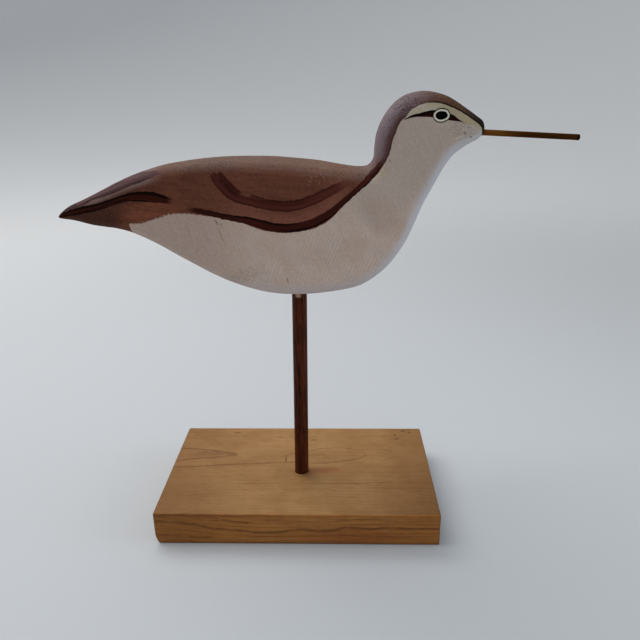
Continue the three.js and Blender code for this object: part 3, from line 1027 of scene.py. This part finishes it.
def birdFinish():
    paint = Finish("birdPaint")
    grain, spot, times, plus, less = paint.grain, paint.spot, paint.times, paint.plus, paint.less
    x, y, z = paint.axes(paint.place)
    kept = ["brownSide", "edgeAlong", "facesUp", "facesFront"]
    side, edgeAlong, up, front = (paint.attribute(name) for name in kept)
    upright = grain((0.9, 0.9, 0.11), 4, 0.62, 24)
    grime = grain(0.7, 4, 0.7)
    weave = grain(0.95, 3, 0.7, 20)

    # the grey of the breast and the belly: clouded, finely hatched and a little dirty
    acrossSaw = plus(times(x, bird["sawLean"][0]), times(z, bird["sawLean"][1]))
    sawWave = paint.calc("SINE", plus(times(acrossSaw, 2 * math.pi / bird["sawStep"]), times(grain(0.09), 9)))
    sawMark = times((sawWave, 0.1, 1), (grain((0.12, 0.1, 0.09), 3), 0.4, 0.62))
    dirty = paint.larger(
        spot(x, z, (81.5, 210.6), (9, 4.2), 10, 0.7), spot(x, z, (-27, 141.5), (12, 3.2), -24, 0.7),
    )
    grey = paint.coats(
        bird, "greyWarm",
        ((grain(0.07, 4, 0.6), 0.36, 0.64), "grey"),
        ((grain((0.1, 0.1, 0.08), 4, 0.6, 30), 0.46, 0.7, 0, 0.4), "greyCool"),
        ((x, -12, -52), "greyRear"),
        ([(z, 164, 190), (x, 14, 34)], "greyNeck"),
        ([(upright, 0.45, 0.75), plus(times((front, 0.1, 0.7), 0.3), 0.16)], "greyShade"),
        ((grime, 0.52, 0.72, 0, 0.26), "greyShade"),
        # the paint is thin over slanting saw marks on the belly
        ([sawMark, (x, -38, 0), (x, 66, 50), (z, 182, 156), 0.32], "greyPale"),
        # painted cool reflection underneath, and painted cool light down the breast and on the throat, where
        # the surface faces down and forward
        ([(up, -0.08, -0.6), (x, -55, 0, 0.1, 0.75)], "greyUnderReflection"),
        ([(front, 0.15, 0.85), (x, 84, 66, 0.3, 1), 0.75], "greyFrontCoolLight"),
        ([(z, 184, 200), (up, -0.05, -0.45), (x, 50, 64), 0.6], "greyFrontCoolLight"),
        # dull and dirty towards the bill, and a smear of filler beside the neck
        ((x, 66, 90, 0, 0.15), "greyOlive"),
        ([dirty, (grain(2.1, 3, 0.7), 0.5, 0.58), 0.6], "scratch"),
        ([spot(x, z, (42.6, 191.4), (3.6, 0.8), -52), 0.4], "creamSmear"),
        ((weave, 0.52, 0.68, 0, 0.2), "greyShade"),
        ((weave, 0.48, 0.34, 0, 0.14), "greyPale"),
    )

    # the hand-painted edge between grey and brown wanders, and is dry and broken at the rump
    dry = plus(
        times((edgeAlong, 60, 24, 0.16, 1), (edgeAlong, 6, 12), (edgeAlong, 95, 80)),
        times((x, 30, 38), (z, 208, 196), 0.3),
    )
    broken = times(paint.sway(grain(1.6, 3, 0.7), 4), dry)
    edge = plus(side, plus(paint.sway(grain(0.35), 0.9), broken))
    isBrown = paint.ramp(edge, -0.18, 0.18)

    # the brown of the back, streaked along the bird
    along = grain((0.05, 0.6, 0.6), 4, 0.62, -6)
    patch = grain((0.045, 0.045, 0.06), 4)
    canvas = grain(1.1, 2, 0.6, -8)
    speck = grain(1.25, 3, 0.7)
    pale = grain(0.85, 3, 0.7)
    rusty = times((x, -92, -74), (x, -46, -64), (side, 13, 5), 0.6)
    # where the back faces up: rubbed, and given a painted highlight
    rubbedAndLit = times((up, 0.35, 0.8), (x, -74, -50), (x, 80, 60))
    napeSpecks = paint.larger(
        times(spot(x, z, (52.5, 222.5), (9, 5), 20, 0.5), 0.85), times((z, 198, 212), (x, 86, 76), 0.4),
    )
    neckRim = times((x, 30, 40), (x, 58, 50))
    brown = paint.coats(
        bird, "brown",
        ((along, 0.35, 0.65), "brownRed"),
        # redder low on the wing, darker at the tail, with a rusty fringe under the rump
        ([(side, 13, 4), (x, -44, -14), (x, 34, 18), 0.75], "brownLow"),
        ((patch, 0.5, 0.72, 0, 0.3), "brownDark"),
        ((grime, 0.5, 0.7, 0, 0.3), "brownDark"),
        ((x, -20, -60, 0, 0.22), "brownDark"),
        ((x, -58, -98, 0, 0.8), "brownDark"),
        ([rusty, (along, 0.36, 0.66, 0.3, 0.8)], "rustFringe"),
        # dusty and rubbed where the back rounds over and on top of the tail, with a painted highlight on
        # these up-facing parts
        ([rubbedAndLit, (canvas, 0.36, 0.64, 0.14, 0.44)], "dustAndSheen"),
        ([rubbedAndLit, (up, 0.8, 1), (canvas, 0.4, 0.62, 0.05, 0.5)], "warmDustAndSheen"),
        ([(up, 0.05, 0.4), (x, -58, -72), (x, -112, -95, 0.05, 0.9)], "tailDustAndSheen"),
        ([(up, 0, 0.3), (x, -97, -110), 0.75], "tailPlum"),
        ((weave, 0.52, 0.68, 0, 0.3), "brownDark"),
        ((weave, 0.48, 0.34, 0, 0.25), "brownLow"),
        # the nape is greyer, its lilac partly paint and partly a painted sheen, and the cap goes almost black
        # at the bill
        ([(x, 74, 48), (x, 28, 40), (z, 188, 202), 0.85], "lilacAndSheen"),
        ((x, 56, 82, 0, 0.85), "capFront"),
        ([(x, 70, 86), (up, 0.5, 0.85), 0.75], "nearBlack"),
        ((x, 78, 89, 0, 0.85), "nearBlack"),
        # specks of old paint on the nape and along the back before it
        ([napeSpecks, (speck, 0.52, 0.58)], "plumDark"),
        ([(x, 2, 8), (x, 24, 16), (z, 184, 189), (pale, 0.56, 0.66), 0.4], "paleSpeck"),
        ([(x, 8, 16), (x, 34, 26), (z, 190, 193), (pale, 0.46, 0.38), 0.6], "ochre"),
        # darker where the brush ran along the edge: broad and soft on the neck, thin on the cap
        ([(plus(edge, paint.sway(patch, 5)), 4.4, 0.6), neckRim, 0.8], "brownRim"),
        ([(edge, 1, 0.1), neckRim, 0.6], "nearBlack"),
        ([(edge, 1.3, 0.3), (x, 54, 76), 0.95], "nearBlack"),
    )
    colour = paint.mix(isBrown, grey, brown)
    over = 0
    for name in bird["strokes"]:
        colour, over = brushStroke(paint, name, colour, over)

    # the face: a cream brow over a dark line through a ringed eye
    faceX = plus(x, paint.sway(grain(0.4), 0.5))
    faceZ = plus(z, paint.sway(grain((0.37, 0.4, 0.43)), 0.5))
    faceLines = ["capEdge", "browLower", "eyeUpper", "eyeLower"]
    capEdge, browLower, eyeUpper, eyeLower = (less(faceZ, paint.curve(x, bird[name])) for name in faceLines)
    brow = times((browLower, -0.12, 0.12), (capEdge, 0.12, -0.12), (x, 53, 53.6), (x, 90.2, 89.2))
    eyeLine = times((eyeLower, -0.12, 0.12), (eyeUpper, 0.12, -0.12), (x, 52.2, 52.8), (x, 81.3, 80.3))
    cream = paint.coats(
        bird, "cream", ((grain(0.3), 0.35, 0.65), "creamDull"), ((x, 60, 76, 0, 0.8), "creamFront"),
    )
    lineTone = paint.coats(bird, "plumDark", ((eyeUpper, -1.5, -0.4), "nearBlack"))
    colour = paint.mix(eyeLine, paint.mix(brow, colour, cream), lineTone)
    colour = paint.coats(
        bird, colour,
        *((spot(faceX, faceZ, bird["eye"], half, 0, 0.06), tone) for half, tone in bird["eyeRings"]),
        # the cap runs down the front of the face to the bill
        ([(x, 89.7, 90.4), (z, 205.5, 206.5)], "muzzle"),
        # small marks of age, on the side that is seen
        *(([spot(x, z, *oval), (y, 2, -2), strength], tone) for *oval, tone, strength in bird["marks"]),
    )
    over = paint.larger(over, paint.larger(brow, eyeLine))
    height = plus(times(over, 0.5), plus(times(upright, 0.35), times(grain(2.2, 3, 0.6), 0.4)))
    roughness = less(paint.ramp(isBrown, 0, 1, 0.62, 0.5), times(over, 0.06))
    return paint.finish(colour, roughness, height, bird["grainDepth"], bird["gloss"])


birdPiece = makeBird()
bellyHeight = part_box("bird_body")[0].z / mm
print("bird ready", len(birdPiece.data.polygons))
makeLeg()
makeBill()
print("leg and bill ready")


# The stage: a pale floor that curves up into a wall all round

stage = {
    "floor": 1,
    "curve": 1,
    "wall": 1.6,
    "floorColour": (0.57, 0.59, 0.61, 1),
    "wallColour": (0.77, 0.78, 0.785, 1),
    "backColour": (0.92, 0.93, 0.94, 1),
}


def makeStage():
    bm = bmesh.new()
    corner = stage["floor"]
    profile = [(0, 0)]
    for step in range(13):
        angle = step / 12 * math.pi / 2
        profile.append((corner + stage["curve"] * math.sin(angle), stage["curve"] * (1 - math.cos(angle))))
    profile.append((corner + stage["curve"], stage["wall"]))
    verts = [bm.verts.new((distance, 0, height)) for distance, height in profile]
    edges = [bm.edges.new(pair) for pair in zip(verts, verts[1:])]
    bmesh.ops.spin(
        bm, geom=verts + edges, cent=(0, 0, 0), axis=(0, 0, 1), angle=2 * math.pi, steps=96, use_merge=True,
    )
    bmesh.ops.remove_doubles(bm, verts=bm.verts, dist=0.0001)
    bmesh.ops.recalc_face_normals(bm, faces=bm.faces)
    floor = newObject("paleFloor", bm)
    floor.data.shade_smooth()
    pale = Finish("paleFloor")
    away = pale.put("VectorMath", [pale.place], out="Value", operation="LENGTH")
    behind = pale.axes(pale.place)[1]
    wall = pale.mix(pale.ramp(behind, 300, 1200), stage["wallColour"], stage["backColour"])
    colour = pale.mix(pale.ramp(away, 350, 1200), stage["floorColour"], wall)
    floor.data.materials.append(pale.finish(colour, 0.9, gloss=0.1))


lights = {
    # place, where it points, size, strength, colour and how wide it shines, in degrees
    "overhead": ((-0.45, 0.3, 1), (0, 0, 0.1), 1.1, 10, (1, 0.98, 0.96), 180),
    "front": ((-0.2, -1.1, 0.7), (0, 0, 0.12), 1.2, 1.2, (1, 0.96, 0.92), 180),
    "right": ((0.85, -0.08, 0.36), (0, 0, 0.17), 0.5, 0.38, (0.66, 0.85, 1), 70),
}
skyColour = (0.9, 0.95, 1, 1)
skyStrength = 0.34


def makeLights():
    for name, (place, target, size, strength, colour, spread) in lights.items():
        data = bpy.data.lights.new(name, "AREA")
        data.shape = "DISK"
        data.size = size
        data.energy = strength
        data.color = colour
        data.spread = math.radians(spread)
        lamp = bpy.data.objects.new(name, data)
        bpy.context.collection.objects.link(lamp)
        lamp.location = place
        lamp.rotation_euler = (Vector(target) - Vector(place)).to_track_quat("-Z", "Y").to_euler()
    world = bpy.data.worlds.new("softRoom")
    bpy.context.scene.world = world
    world.use_nodes = True
    background = world.node_tree.nodes["Background"]
    background.inputs[0].default_value = skyColour
    background.inputs[1].default_value = skyStrength
    bpy.context.scene.view_settings.view_transform = "Standard"


makeStage()
makeLights()
print("stage and lights ready")
